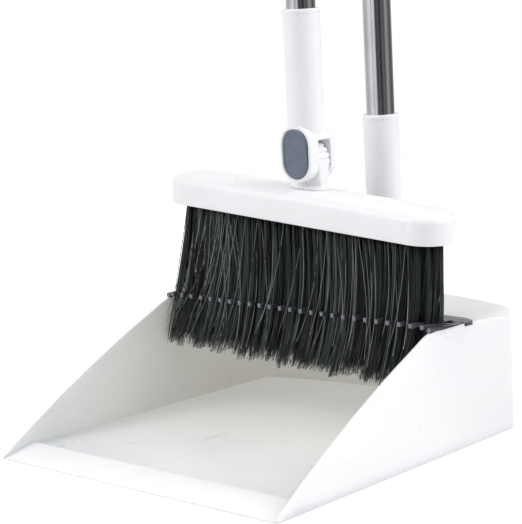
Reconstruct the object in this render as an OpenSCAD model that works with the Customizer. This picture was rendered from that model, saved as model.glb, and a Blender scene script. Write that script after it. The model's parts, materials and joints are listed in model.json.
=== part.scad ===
// Upright dust pan with a bristle comb, and a swivel-head broom parked in it.
// Origin: centre of the pan's footprint on the floor. +X right, +Y towards the rear wall, +Z up.

/* [Pan] */
// Width of the pan across its front corners
pan_w = 265; // [259:1:271]
// Depth of the pan from its lip to its rear wall
pan_len = 290; // [286:1:294]
// How much each side wall closes in from the front to the rear
pan_taper = 9.8; // [8:0.1:11]
// Height of the hood
hood_h = 88; // [86:1:90]
// Thickness of the walls, the floor and the hood
wall = 2.5; // [2.2:0.1:2.8]
// Height of the floor's upper face
floor_top = 5.5; // [5.3:0.1:6]
// Depth of the soft lip along the front edge
lip_depth = 28; // [24:1:30]

/* [Comb] */
// Number of comb teeth
tooth_count = 25; // [21:2:25]
// Distance from tooth to tooth
tooth_pitch = 10; // [9.5:0.1:10]
// Width of one tooth
tooth_w = 2.6; // [2:0.1:3]
// Thickness of the comb's plate and side rails
comb_t = 2.2; // [1.8:0.1:2.4]
// How far the tooth tips stand above the hood
tooth_rise = 5.3; // [3:0.1:6]

/* [Broom head] */
// Length of the head
head_len = 258.5; // [250:0.5:259]
// Depth of the head
head_depth = 42; // [40:0.5:43]
// Height of the head's bar
head_h = 23.5; // [22:0.5:24]
// Lean of the parked head about the pivot
head_tilt = 3.6; // [2:0.1:4]
// Length of the bristles below the head
bristle_len = 101; // [95:1:102]

/* [Swivel and button] */
// Height of the swivel axis above the floor
pivot_z = 196.5; // [195:0.5:198]
// Radius of the swivel pin
pin_r = 3.5; // [3:0.1:3.6]
// Travel of the release button
button_travel = 2.5; // [2:0.1:2.5]

/* [Handles] */
// Diameter of the metal tubes
tube_d = 21; // [20:0.1:21]
// Diameter of the plastic sockets
socket_d = 26.6; // [26:0.1:26.6]
// Height of the pan's handle
pan_height = 940; // [900:5:980]
// Height of the broom's handle while parked
broom_height = 1270; // [1200:5:1320]
// Wall thickness of the metal tubes
tube_wall = 0.8; // [0.6:0.1:1]

/* [Hidden] */
$fn = 64;

white = [0.96, 0.965, 0.975];
slate = [0.42, 0.46, 0.53];
dark_slate = [0.16, 0.17, 0.21];
bristle_black = [0.09, 0.1, 0.1];
chrome = [0.72, 0.72, 0.76];
steel = [0.62, 0.62, 0.64];

eps = 0.01;
gap = 0.05;          // running clearance of a fitted pair, on the radius
slack = 0.4;         // clearance of loose neighbours
front_y = -pan_len / 2;

// Depths are measured back from the lip
tip_depth = 164.5;
root_depth = 206.5;
plate_depth = 224.5;
rail_depth = 166;
hood_depth = 205;
broom_y = front_y + 191;
handle_y = front_y + 275;

// Side outline of the pan
nose_h = 2;
slope_len = 165;
slope_bulge = 5;
blend_from = 150;
blend_len = 32;
crown_depth = 190;
crown_fall = 9.5;
crown_len = 95;
flat_top = 86.6;
shoulder_w = 12;
shoulder_fall = 9;
rear_radius = 364;
corner_r = 14;
underside_h = floor_top - wall;

// Comb pegs and the socket's spigot, which stand in the hood
peg_r = 2;
peg_depth = 214;
spigot_r = 9;
peg_places = [for (i = [-2:2]) i * 52];

// Sleeves, tubes and joints
tube_r = tube_d / 2;
tube_bore = tube_r - tube_wall;
socket_r = socket_d / 2;
socket_base = 87.8;
pan_socket_top = 221;
broom_socket_top = 305;
tube_seat = 20;
thread_r = 7.5;
thread_len = 22;
plug_len = 25;
ring_h = 6;
section_len = 255;
grip_len = 148;
hanger_len = 40;
eye_r = 5;
eye_t = 8;
clip_z = 722;
clip_h = 24;
collar_r = 14.5;

// Head and fork, in the head's own upright pose
bar_top = pivot_z - 20;
bar_bottom = bar_top - head_h;
bristle_top = bar_bottom - 0.2;
bristle_end = bristle_top - bristle_len;
fork_front = broom_y - 13;
plate_back = broom_y - 3.5;
fork_rear = broom_y + 11;
fork_back = broom_y + 16;
hub_front = plate_back + 0.5;
hub_back = fork_rear - 1.6;
hub_r = 13.5;
hub_pocket = 8.5;
gear_r = 8;
gear_front = fork_front + 6;
gear_len = 6.3;
button_t = 4;
button_front = fork_front - 0.8;
button_w = 23.4;
button_h = 36.4;
plate_w = 29;
plate_h = 41;
roof_z = pivot_z + 15.2;
cap_z = pivot_z + 6;
notch_step = 20;

function smooth(t) = t * t * (3 - 2 * t);
function clamp01(t) = max(0, min(1, t));
function half_width(d) = pan_w / 2 - pan_taper * d / pan_len;
function slope_z(d) = nose_h + (hood_h - nose_h) * d / slope_len
    + 4 * slope_bulge * (d / slope_len) * (1 - d / slope_len);
function crown_z(d) = hood_h - crown_fall * pow(max(0, d - crown_depth) / crown_len, 2);
function blend(d) = smooth(clamp01((d - blend_from) / blend_len));
function top_z(d) = slope_z(min(d, blend_from + blend_len)) * (1 - blend(d)) + crown_z(d) * blend(d);

// Runs an outline drawn as (depth, height) across the pan, centred on X
module across(width) {
    rotate([90, 0, 90])
        translate([0, 0, -width / 2])
            linear_extrude(width) children();
}

// Everything under the side outline between two depths, lowered by drop
module under_outline(from, to, drop) {
    steps = ceil((to - from) / 7);
    tops = [for (i = [0:steps]) let (d = from + (to - from) * i / steps) [front_y + d, top_z(d) - drop]];
    across(pan_w + 20)
        polygon(concat([[front_y + from, -10]], tops, [[front_y + to, -10]]));
}

// The pan seen from above: tapering sides, rounded rear corners, bowed rear wall
module plan(inset) {
    side_depth = pan_len - 20;
    rear = [for (i = [-6:6])
        let (x = half_width(side_depth) * i / 6)
        [x, rear_radius * (cos(asin(x / rear_radius)) - 1) - front_y]];
    offset(delta = -inset)
        offset(r = corner_r)
            offset(delta = -corner_r)
                polygon(concat(
                    [[half_width(-60), front_y - 60], [-half_width(-60), front_y - 60]],
                    rear));
}

module plan_block(inset, z0, z1) {
    translate([0, 0, z0])
        linear_extrude(z1 - z0) plan(inset);
}

module depth_block(from, to, z0, z1) {
    translate([-pan_w, front_y + from, z0])
        cube([2 * pan_w, to - from, z1 - z0]);
}

// The level top of the hood behind the comb, with shoulders that fall to the side outline, lowered by drop
module level_top(from, drop) {
    steps = 5;
    edge = pan_w / 2 - pan_taper - shoulder_w + 2;
    function level(i) = flat_top - drop - shoulder_fall * pow(i / steps, 2);
    right = [for (i = [0:steps]) [edge + shoulder_w * i / steps, level(i)]];
    left = [for (i = [steps:-1:0]) [-edge - shoulder_w * i / steps, level(i)]];
    translate([0, front_y + pan_len + 5, 0])
        rotate([90, 0, 0])
            linear_extrude(pan_len + 5 - from)
                polygon(concat(left, right, [[edge + shoulder_w, 40], [-edge - shoulder_w, 40]]));
}

// The room that the comb's plate takes up, out to a plan outline inset by so much
module comb_room(inset) {
    rear_r = 22;
    half = half_width(rail_depth) + 2;
    difference() {
        intersection() {
            plan_block(inset, 60, 95);
            translate([0, 0, 60])
                linear_extrude(40)
                    offset(r = rear_r) offset(delta = -rear_r)
                        translate([-half, front_y])
                            square([2 * half, plate_depth]);
            depth_block(hood_depth, plate_depth + 1, 60, 95);
        }
        under_outline(hood_depth - 5, plate_depth + 5, comb_t);
    }
}

module pan_shell() {
    rib_w = 6;
    pad_r = 14.6;
    seat_len = 24;
    color(white)
        difference() {
            union() {
                difference() {
                    intersection() {
                        plan_block(0, 0, hood_h + 10);
                        union() {
                            under_outline(0, pan_len, 0);
                            level_top(plate_depth, 0);
                        }
                    }
                    intersection() {
                        plan_block(wall, floor_top, hood_h + 10);
                        union() {
                            under_outline(-20, hood_depth + seat_len, wall + comb_t);
                            under_outline(hood_depth + seat_len - eps, pan_len, wall);
                            level_top(hood_depth + seat_len, wall);
                        }
                    }
                    intersection() {
                        plan_block(wall, floor_top, hood_h + 10);
                        depth_block(-20, hood_depth, floor_top, hood_h + 20);
                    }
                    plan_block(wall, -1, underside_h);
                    intersection() {
                        plan_block(wall, -1, floor_top + 1);
                        depth_block(-20, lip_depth, -1, floor_top + 1);
                    }
                }
                intersection() {
                    plan_block(wall - eps, 0, underside_h + eps);
                    for (d = [lip_depth + 32, pan_len / 2, pan_len - 60])
                        depth_block(d - rib_w / 2, d + rib_w / 2, 0, underside_h + eps);
                }
                translate([0, handle_y, socket_base - 6])
                    cylinder(h = 6, r = pad_r);
            }
            comb_room(-2);
            for (x = peg_places)
                translate([x, front_y + peg_depth, 70])
                    cylinder(h = 30, r = peg_r + gap);
            translate([0, handle_y, socket_base - 20])
                cylinder(h = 30, r = spigot_r + gap);
        }
}

module floor_lip() {
    inner = 2 * half_width(0) - 2 * wall - 2 * gap;
    color(white)
        intersection() {
            across(inner)
                polygon([
                    [front_y, 0], [front_y + lip_depth + 9, 0], [front_y + lip_depth + 9, underside_h - gap],
                    [front_y + lip_depth - gap, underside_h - gap], [front_y + lip_depth - gap, floor_top + 0.8],
                    [front_y + lip_depth - 2, floor_top + 1.3], [front_y, 0.8]
                ]);
            plan_block(wall + gap, -1, floor_top + 5);
        }
}

module comb_tooth() {
    tooth_t = 3;
    steps = 6;
    run = root_depth - tip_depth;
    function lift(i) = tooth_rise * smooth(i / steps);
    function thickness(i) = i == 0 ? comb_t - 0.1 : tooth_t;
    upper = [for (i = [0:steps]) [front_y + root_depth - run * i / steps, hood_h + lift(i)]];
    lower = [for (i = [steps:-1:0]) [front_y + root_depth - run * i / steps, hood_h + lift(i) - thickness(i)]];
    across(tooth_w)
        polygon(concat([[front_y + root_depth + 3, hood_h]], upper, lower,
            [[front_y + root_depth + 3, hood_h - 1.5]]));
}

// Rails that lie on the side walls' top edges, taper backwards and end inside the plate
module comb_rails() {
    rail_w = 3.4;
    rail_h = 3.4;
    steps = 8;
    run = hood_depth - rail_depth;
    lift = 0.08;
    inside = [front_y + root_depth, hood_h - comb_t / 2 - 0.4];
    function at(i) = rail_depth + run * i / steps;
    function thickness(i) = 0.3 + (rail_h - 0.3) * (1 - smooth(i / steps));
    lower = [for (i = [0:steps]) [front_y + at(i), top_z(at(i)) + lift]];
    upper = [for (i = [steps:-1:0]) [front_y + at(i), top_z(at(i)) + lift + thickness(i)]];
    nose = [front_y + rail_depth - 1, top_z(rail_depth) + lift + rail_h / 2];
    difference() {
        intersection() {
            across(pan_w)
                polygon(concat(lower, [inside, inside + [5, 0], inside + [5, 0.8]], upper, [nose]));
            plan_block(0, 60, hood_h + 10);
        }
        plan_block(rail_w, 60, hood_h + 10);
    }
}

module comb() {
    color(dark_slate) {
        difference() {
            intersection() {
                comb_room(0);
                under_outline(hood_depth - 5, plate_depth + 5, 0);
            }
            depth_block(0, root_depth, 60, hood_h + 10);
        }
        comb_rails();
        for (i = [0:tooth_count - 1])
            translate([(i - (tooth_count - 1) / 2) * tooth_pitch, 0, 0]) comb_tooth();
        for (x = peg_places)
            translate([x, front_y + peg_depth, hood_h - 7])
                cylinder(h = 6, r = peg_r);
    }
}

// ---- handle hardware, each drawn on its own axis ----

module tube_at(z0, z1) {
    color(chrome)
        translate([0, 0, z0])
            difference() {
                cylinder(h = z1 - z0, r = tube_r);
                translate([0, 0, -1]) cylinder(h = z1 - z0 + 2, r = tube_bore);
            }
}

// Plug in a tube's lower end, with its thread hanging below z
module screw_plug(z) {
    ridges = 7;
    rise = (thread_len - 4) / ridges;
    color(white)
        rotate_extrude()
            polygon(concat(
                [[0, z - thread_len], [thread_r - 1.5, z - thread_len]],
                [for (i = [0:ridges - 1], k = [0, 1])
                    [thread_r - (k == 0 ? 0.7 : 0), z - thread_len + 2 + rise * (i + k * 0.6)]],
                [[thread_r - 0.7, z - 1], [thread_r - 0.7, z], [tube_bore - gap, z],
                    [tube_bore - gap, z + plug_len], [0, z + plug_len]]));
}

// Insert in a tube's upper end: a flush ring with a threaded hole under it
module joint_nut(z) {
    hole_r = thread_r + gap;
    color(white)
        rotate_extrude()
            polygon([
                [hole_r, z - plug_len], [tube_bore - gap, z - plug_len], [tube_bore - gap, z],
                [tube_r - 0.3, z], [tube_r, z + 0.3], [tube_r, z + ring_h - 0.3],
                [tube_r - 0.3, z + ring_h], [hole_r, z + ring_h]
            ]);
}

// Soft sleeve with shallow grip rings over the tube's top end
module grip(z, swell) {
    rings = 9;
    span = grip_len - 40;
    rise = span / rings;
    inner = tube_r + gap;
    color(slate)
        rotate_extrude()
            polygon(concat(
                [[inner, z], [swell - 1.8, z], [swell - 0.6, z + 1.2], [swell - 0.6, z + 19]],
                [for (i = [0:rings - 1], k = [0:3])
                    [swell - (k == 0 || k == 3 ? 0.9 : 0), z + 20 + rise * (i + [0.06, 0.18, 0.82, 0.94][k])]],
                [[swell - 0.6, z + grip_len - 19], [swell - 0.6, z + grip_len - 1], [swell - 1.6, z + grip_len],
                    [inner, z + grip_len]]));
}

// End cap with a round eye to hang the tool from
module hanger(z, cap_r) {
    base_h = 9;
    eye_r_out = 12;
    eye_z = z + hanger_len - eye_r_out;
    color(white)
        difference() {
            union() {
                translate([0, 0, z + gap]) cylinder(h = base_h, r = cap_r);
                translate([0, 0, z - 22]) cylinder(h = 22 + base_h, r = tube_bore - gap);
                translate([-eye_r_out, -eye_t / 2, z + base_h - 1])
                    cube([2 * eye_r_out, eye_t, eye_z - z - base_h + 1]);
                translate([0, eye_t / 2, eye_z]) rotate([90, 0, 0]) cylinder(h = eye_t, r = eye_r_out);
            }
            translate([0, eye_t, eye_z]) rotate([90, 0, 0]) cylinder(h = 2 * eye_t, r = eye_r);
        }
}

// Plain sleeve that the tube's lower end stands in, open at the top
module socket_bore(top) {
    translate([0, 0, top - tube_seat]) cylinder(h = tube_seat + 5, r = tube_r + gap);
    translate([0, 0, top - tube_seat - thread_len - 2]) cylinder(h = thread_len + 4, r = thread_r + gap);
}

// Slight collar round a socket's mouth
module socket_collar(top) {
    translate([0, 0, top - 3.5]) cylinder(h = 3.5, r = socket_r + 0.35);
}

pan_grip_z = pan_height - hanger_len - grip_len;
pan_joint_z = (pan_socket_top + pan_grip_z) / 2;
broom_grip_z = broom_height - hanger_len - grip_len;
broom_joint_z = [
    broom_socket_top + (broom_grip_z - broom_socket_top) / 3,
    broom_socket_top + (broom_grip_z - broom_socket_top) * 2 / 3
];
tube_in_grip = grip_len - eps;

module on_handle() {
    translate([0, handle_y, 0]) children();
}

module on_broom() {
    translate([0, broom_y, 0]) children();
}

module pan_socket() {
    color(white)
        on_handle()
            difference() {
                union() {
                    translate([0, 0, socket_base]) cylinder(h = pan_socket_top - socket_base, r = socket_r);
                    translate([0, 0, socket_base]) cylinder(h = 4, r = 14.6);
                    socket_collar(pan_socket_top);
                    translate([0, 0, socket_base - 12]) cylinder(h = 13, r = spigot_r);
                }
                socket_bore(pan_socket_top);
                translate([0, 0, socket_base - 20]) cylinder(h = 32, r = 2.1);
            }
}

module socket_screw() {
    color(steel)
        on_handle() {
            translate([0, 0, socket_base - 15]) cylinder(h = 3 - eps, r = 6.5);
            translate([0, 0, socket_base - 13]) cylinder(h = 22, r = 2);
        }
}

module pan_lower_plug() { on_handle() screw_plug(pan_socket_top - tube_seat); }
module pan_lower_tube() { on_handle() tube_at(pan_socket_top - tube_seat, pan_joint_z); }
module pan_joint_nut() { on_handle() joint_nut(pan_joint_z); }
module pan_joint_screw() { on_handle() screw_plug(pan_joint_z + ring_h); }
module pan_upper_tube() { on_handle() tube_at(pan_joint_z + ring_h, pan_grip_z + tube_in_grip); }
module pan_grip() { on_handle() grip(pan_grip_z, 14.6); }
module pan_hanger() { on_handle() hanger(pan_height - hanger_len, 13.6); }

module broom_lower_plug() { on_broom() screw_plug(broom_socket_top - tube_seat); }
module broom_lower_tube() { on_broom() tube_at(broom_socket_top - tube_seat, broom_joint_z[0]); }
module broom_lower_nut() { on_broom() joint_nut(broom_joint_z[0]); }
module broom_lower_screw() { on_broom() screw_plug(broom_joint_z[0] + ring_h); }
module broom_middle_tube() { on_broom() tube_at(broom_joint_z[0] + ring_h, broom_joint_z[1]); }
module broom_upper_nut() { on_broom() joint_nut(broom_joint_z[1]); }
module broom_upper_screw() { on_broom() screw_plug(broom_joint_z[1] + ring_h); }
module broom_upper_tube() { on_broom() tube_at(broom_joint_z[1] + ring_h, broom_grip_z + tube_in_grip); }
module broom_grip() { on_broom() grip(broom_grip_z, 15.5); }
module broom_hanger() { on_broom() hanger(broom_height - hanger_len, 14.5); }

module handle_clip() {
    jaw_r = tube_r + slack;
    mouth = 15.6;
    arm_w = 12;
    arm_h = 16;
    color(white)
        translate([0, 0, clip_z - clip_h / 2])
            difference() {
                union() {
                    on_handle() cylinder(h = clip_h, r = collar_r);
                    on_broom() cylinder(h = clip_h, r = collar_r);
                    translate([-arm_w / 2, broom_y + jaw_r + 1, (clip_h - arm_h) / 2])
                        cube([arm_w, handle_y - broom_y - 2 * jaw_r, arm_h]);
                }
                on_handle() translate([0, 0, -1]) cylinder(h = clip_h + 2, r = tube_r + gap);
                on_broom() translate([0, 0, -1]) cylinder(h = clip_h + 2, r = jaw_r);
                translate([-mouth / 2, broom_y - 20, -1]) cube([mouth, 20, clip_h + 2]);
                translate([0, handle_y, clip_h / 2]) rotate([0, 90, 0]) cylinder(h = 20, r = 2 + gap);
            }
}

module clip_screw() {
    color(steel)
        translate([tube_r + gap, handle_y, clip_z]) rotate([0, 90, 0]) {
            cylinder(h = 6, r = 2);
            translate([0, 0, 4.5]) cylinder(h = 2.2, r = 3.6);
        }
}

// ---- broom head, drawn upright and then leaned about the pivot ----

module leaned() {
    translate([0, 0, pivot_z])
        rotate([0, head_tilt, 0])
            translate([0, 0, -pivot_z]) children();
}

// Bar with round ends, lying along X
module bar(inset, z0, z1) {
    r = head_depth / 2 - inset;
    reach = (head_len - head_depth) / 2;
    translate([0, broom_y, z0]) {
        translate([-reach, -r, 0]) cube([2 * reach, 2 * r, z1 - z0]);
        for (side = [-1, 1])
            translate([side * reach, 0, 0]) cylinder(h = z1 - z0, r = r);
    }
}

screw_places = [-105, -63, -21, 21, 63, 105];
boss_z = bar_bottom + 10;

module head_cover() {
    top_bevel = 3;
    skin = 3;
    color(white)
        leaned()
            difference() {
                union() {
                    bar(0, bar_bottom, bar_top - top_bevel);
                    hull() {
                        bar(0, bar_top - top_bevel - eps, bar_top - top_bevel);
                        bar(top_bevel, bar_top - eps, bar_top);
                    }
                }
                difference() {
                    bar(skin, bar_bottom - 1, bar_top - skin - 1);
                    for (x = screw_places)
                        translate([x, broom_y, boss_z]) cylinder(h = 20, r = 5);
                }
                for (x = screw_places)
                    translate([x, broom_y, bar_bottom]) cylinder(h = 16, r = 1.6 + gap);
                for (x = [-6, 6])
                    translate([x, hub_mid_y, bar_bottom]) cylinder(h = 40, r = 1.6 + gap);
            }
}

module bristle_block() {
    color(bristle_black)
        leaned()
            difference() {
                bar(3 + slack, bar_bottom, boss_z);
                for (x = screw_places)
                    translate([x, broom_y, bar_bottom - 1]) {
                        cylinder(h = 20, r = 1.6 + gap);
                        cylinder(h = 3.5, r = 3.2);
                    }
            }
}

module head_screws() {
    color(steel)
        leaned()
            for (x = screw_places)
                translate([x, broom_y, bar_bottom]) {
                    translate([0, 0, 0.4]) cylinder(h = 2, r = 3);
                    translate([0, 0, 1]) cylinder(h = 14, r = 1.6);
                }
}

// The whole brush as one flared block, slotted where the comb's teeth stand in it
module bristles() {
    foot_half = (tooth_count - 1) / 2 * tooth_pitch - tooth_w / 2 - slack;
    foot_front = broom_y - 31;
    foot_rear = broom_y + 11;
    foot_z = pivot_z - 147;
    slot_top = hood_h + tooth_rise + 1.2;
    color(bristle_black)
        difference() {
            hull() {
                leaned() bar(4.5, bristle_top - 0.5, bristle_top);
                translate([-foot_half, foot_front, foot_z])
                    cube([2 * foot_half, foot_rear - foot_front, 0.5]);
            }
            for (i = [0:tooth_count - 1])
                translate([(i - (tooth_count - 1) / 2) * tooth_pitch - tooth_w / 2 - slack, foot_front - 5, 0])
                    cube([tooth_w + 2 * slack, 100, slot_top]);
        }
}

hub_mid_y = (hub_front + hub_back) / 2;

module on_pivot(y) {
    translate([0, y, pivot_z]) rotate([-90, 0, 0]) children();
}

// Notched disc on a neck that stands on the head
module swivel_hub() {
    neck_w = 26.6;
    foot_h = 3.2;
    color(white)
        leaned()
            difference() {
                union() {
                    on_pivot(hub_front) cylinder(h = hub_back - hub_front, r = hub_r);
                    translate([-neck_w / 2, hub_front, bar_top])
                        cube([neck_w, hub_back - hub_front, pivot_z - bar_top]);
                    translate([0, hub_mid_y, bar_top + gap]) {
                        translate([-6, -11, 0]) cube([12, 22, foot_h]);
                        for (side = [-1, 1])
                            translate([side * 6, 0, 0]) cylinder(h = foot_h, r = 11);
                    }
                }
                on_pivot(hub_front - 1) cylinder(h = hub_pocket + 1, r = gear_r + slack);
                on_pivot(hub_front - 1) cylinder(h = 20, r = pin_r + gap);
                for (a = [-100:notch_step:100])
                    translate([0, hub_front - 1, pivot_z]) rotate([0, a, 0])
                        translate([-0.9, 0, hub_r - 1.3]) cube([1.8, 20, 4]);
                for (x = [-6, 6])
                    translate([x, hub_mid_y, bar_top - 1]) cylinder(h = 12, r = 1.6 + gap);
            }
}

module hub_screws() {
    color(steel)
        leaned()
            for (x = [-6, 6])
                translate([x, hub_mid_y, bar_top - 6.2]) {
                    cylinder(h = 2, r = 3);
                    translate([0, 0, 1]) cylinder(h = 15, r = 1.6);
                }
}

// Plate with round ends, standing in the XZ plane with its front face at y0, its lower end round the pivot
module stadium(width, height, y0, depth) {
    r = width / 2;
    reach = height / 2 - r;
    for (side = [-1, 1])
        translate([0, y0, cap_z + side * reach]) rotate([-90, 0, 0]) cylinder(h = depth, r = r);
    translate([-r, y0, cap_z - reach]) cube([width, depth, 2 * reach]);
}

module broom_socket() {
    rear_w = 26;
    color(white)
        difference() {
            union() {
                stadium(plate_w, plate_h, fork_front, plate_back - fork_front);
                translate([0, fork_rear, pivot_z - 1]) rotate([-90, 0, 0])
                    cylinder(h = fork_back - fork_rear, r = rear_w / 2);
                translate([-rear_w / 2, fork_rear, pivot_z - 1])
                    cube([rear_w, fork_back - fork_rear, roof_z + 6 - pivot_z + 1]);
                translate([-rear_w / 2, fork_front + 1, roof_z])
                    cube([rear_w, fork_back - fork_front - 1, 6]);
                on_broom() {
                    translate([0, 0, roof_z]) cylinder(h = broom_socket_top - roof_z, r = socket_r);
                    socket_collar(broom_socket_top);
                }
            }
            stadium(button_w + 2 * slack, button_h + 2 * slack, fork_front - 5, 5 + 6.2);
            on_pivot(fork_front) cylinder(h = plate_back - fork_front + 1, r = gear_r + slack);
            on_pivot(fork_rear - 1) cylinder(h = 10, r = pin_r + gap);
            on_pivot(fork_back - 2) cylinder(h = 5, r = 5.6);
            on_broom() socket_bore(broom_socket_top);
        }
}

module pivot_pin() {
    color(steel) {
        on_pivot(gear_front - 1.5) cylinder(h = fork_back - gear_front, r = pin_r);
        on_pivot(fork_back - 1.9) cylinder(h = 1.8, r = 5.4);
    }
}

module release_button() {
    color(slate)
        difference() {
            union() {
                stadium(button_w, button_h, button_front, button_t);
                on_pivot(button_front + button_t - eps)
                    cylinder(h = gear_front - button_front - button_t, r = 7);
            }
            on_pivot(gear_front - 1.5 - button_travel - 0.5) cylinder(h = 10, r = pin_r + gap);
        }
}

module lock_gear() {
    splines = 16;
    color(steel)
        difference() {
            on_pivot(gear_front) cylinder(h = gear_len, r = gear_r);
            on_pivot(gear_front - 1) cylinder(h = gear_len + 2, r = pin_r + gap);
            for (i = [0:splines - 1])
                translate([0, gear_front - 1, pivot_z]) rotate([0, i * 360 / splines, 0])
                    translate([-0.6, 0, gear_r - 0.8]) cube([1.2, gear_len + 2, 2]);
        }
}

// Compression spring round the pin, a wire swept along a helix by its rings of points
module button_spring() {
    spring_len = hub_front + hub_pocket - gear_front - gear_len - 0.3;
    wire_r = 0.45;
    coil_r = 5.9;
    turns = 4;
    per_turn = 14;
    sides = 6;
    count = turns * per_turn;
    rise = spring_len - 2 * wire_r;
    rings = [for (i = [0:count], k = [0:sides - 1])
        let (a = 360 * i / per_turn, b = 360 * k / sides, r = coil_r + wire_r * cos(b))
        [r * cos(a), r * sin(a), wire_r + rise * i / count + wire_r * sin(b)]];
    walls = [for (i = [0:count - 1], k = [0:sides - 1])
        let (n = (k + 1) % sides)
        [i * sides + k, i * sides + n, (i + 1) * sides + n, (i + 1) * sides + k]];
    start_cap = [for (k = [sides - 1:-1:0]) k];
    end_cap = [for (k = [0:sides - 1]) count * sides + k];
    color(steel)
        on_pivot(gear_front + gear_len + 0.15)
            polyhedron(points = rings, faces = concat(walls, [start_cap], [end_cap]));
}

pan_shell();
floor_lip();
comb();
pan_socket();
socket_screw();
pan_lower_plug();
pan_lower_tube();
pan_joint_nut();
pan_joint_screw();
pan_upper_tube();
pan_grip();
pan_hanger();
handle_clip();
clip_screw();
head_cover();
bristle_block();
bristles();
head_screws();
swivel_hub();
hub_screws();
broom_socket();
pivot_pin();
release_button();
lock_gear();
button_spring();
broom_lower_plug();
broom_lower_tube();
broom_lower_nut();
broom_lower_screw();
broom_middle_tube();
broom_upper_nut();
broom_upper_screw();
broom_upper_tube();
broom_grip();
broom_hanger();
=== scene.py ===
"""Looks of the dust pan and brush set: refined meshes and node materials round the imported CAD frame."""

import json
import math
import random

import bmesh
import bpy
from mathutils import Matrix, Vector


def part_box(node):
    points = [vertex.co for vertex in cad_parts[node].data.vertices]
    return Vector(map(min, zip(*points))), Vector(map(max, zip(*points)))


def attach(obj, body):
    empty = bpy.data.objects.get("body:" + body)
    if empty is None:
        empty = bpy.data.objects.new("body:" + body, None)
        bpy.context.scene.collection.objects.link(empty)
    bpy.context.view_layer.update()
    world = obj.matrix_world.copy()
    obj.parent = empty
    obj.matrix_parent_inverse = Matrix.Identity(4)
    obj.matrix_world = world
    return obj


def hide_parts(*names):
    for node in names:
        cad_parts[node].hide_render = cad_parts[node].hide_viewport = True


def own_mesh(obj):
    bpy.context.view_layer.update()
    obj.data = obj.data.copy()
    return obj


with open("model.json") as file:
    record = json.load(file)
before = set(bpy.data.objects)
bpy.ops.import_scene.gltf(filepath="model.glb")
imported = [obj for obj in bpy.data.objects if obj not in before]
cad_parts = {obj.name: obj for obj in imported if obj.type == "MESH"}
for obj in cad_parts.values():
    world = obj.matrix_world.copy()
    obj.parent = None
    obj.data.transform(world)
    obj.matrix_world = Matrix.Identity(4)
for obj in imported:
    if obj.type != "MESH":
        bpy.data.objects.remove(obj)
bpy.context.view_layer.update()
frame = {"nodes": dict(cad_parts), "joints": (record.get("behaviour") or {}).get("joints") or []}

MM = 0.001
nodes = frame["nodes"]


# ---------------------------------------------------------------- places, from the frame

def middle(node):
    low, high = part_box(node)
    return (low + high) / 2


pivot = Vector(next(j["pos_m"] for j in frame["joints"] if j["name"] == "head_swivel"))
HANDLE_AXIS = middle("pan_lower_tube")
BROOM_AXIS = middle("broom_lower_tube")
HEAD_LEAN = math.radians(3.6)


def leaned(mesh):
    """Turns what is drawn upright about the swivel axis to the parked head's lean."""
    turn = Matrix.Translation(pivot) @ Matrix.Rotation(HEAD_LEAN, 4, "Y") @ Matrix.Translation(-pivot)
    mesh.transform(turn)


# ---------------------------------------------------------------- camera, floor and light

CAMERA_AIM = Vector((21.1, -30.2, 136.7)) * MM
CAMERA_AWAY = 1340.4 * MM
CAMERA_AZIMUTH = math.radians(43.33)
CAMERA_HEIGHT = math.radians(10.15)
CAMERA_ROLL = math.radians(2.83)
CAMERA_LENS = 133.94
FLOOR_RADIUS = 1.25
FLOOR_GAP = 0.4 * MM
PAPER_GLOW = 0.08
PAPER_GLOW_SEEN = 0.62
# Brightness round the set, by degrees from the camera.
# Soft tent light, dimmer from where the photographer stands
TENT = ((-180, 0.72), (-75, 0.76), (-35, 0.34), (35, 0.34), (75, 0.76), (180, 0.72))
# What polished parts mirror: a bright wall on the left, a dim room with a few strips on the right
ROOM = ((-180, 0.9), (-110, 0.6), (-66, 1.1), (-48, 0.55), (-30, 0.9), (-20, 0.06), (0, 0.13), (16, 0.03),
        (34, 0.18), (48, 0.10), (66, 0.42), (84, 0.30), (106, 0.10), (135, 0.25), (180, 0.7))


def make_camera():
    az, el, roll = CAMERA_AZIMUTH, CAMERA_HEIGHT, CAMERA_ROLL
    back = Vector((math.sin(az) * math.cos(el), -math.cos(az) * math.cos(el), math.sin(el)))
    level = Vector((math.cos(az), math.sin(az), 0))
    up = back.cross(level)
    side = math.cos(roll) * level - math.sin(roll) * up
    top = math.sin(roll) * level + math.cos(roll) * up
    data = bpy.data.cameras.new("camera")
    data.lens = CAMERA_LENS
    data.sensor_width = 36
    data.clip_start, data.clip_end = 0.05, 60
    camera = bpy.data.objects.new("camera", data)
    turn = Matrix((side, top, back)).transposed().to_4x4()
    camera.matrix_world = Matrix.Translation(CAMERA_AIM + CAMERA_AWAY * back) @ turn
    bpy.context.scene.collection.objects.link(camera)
    bpy.context.scene.camera = camera


def area_light(name, place, aim, size, power):
    data = bpy.data.lights.new(name, "AREA")
    data.shape = "RECTANGLE"
    data.size, data.size_y = size
    data.energy = power
    light = bpy.data.objects.new(name, data)
    light.location = place
    light.rotation_mode = "QUATERNION"
    light.rotation_quaternion = (Vector(aim) - Vector(place)).to_track_quat("-Z", "Y")
    bpy.context.scene.collection.objects.link(light)


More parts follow.
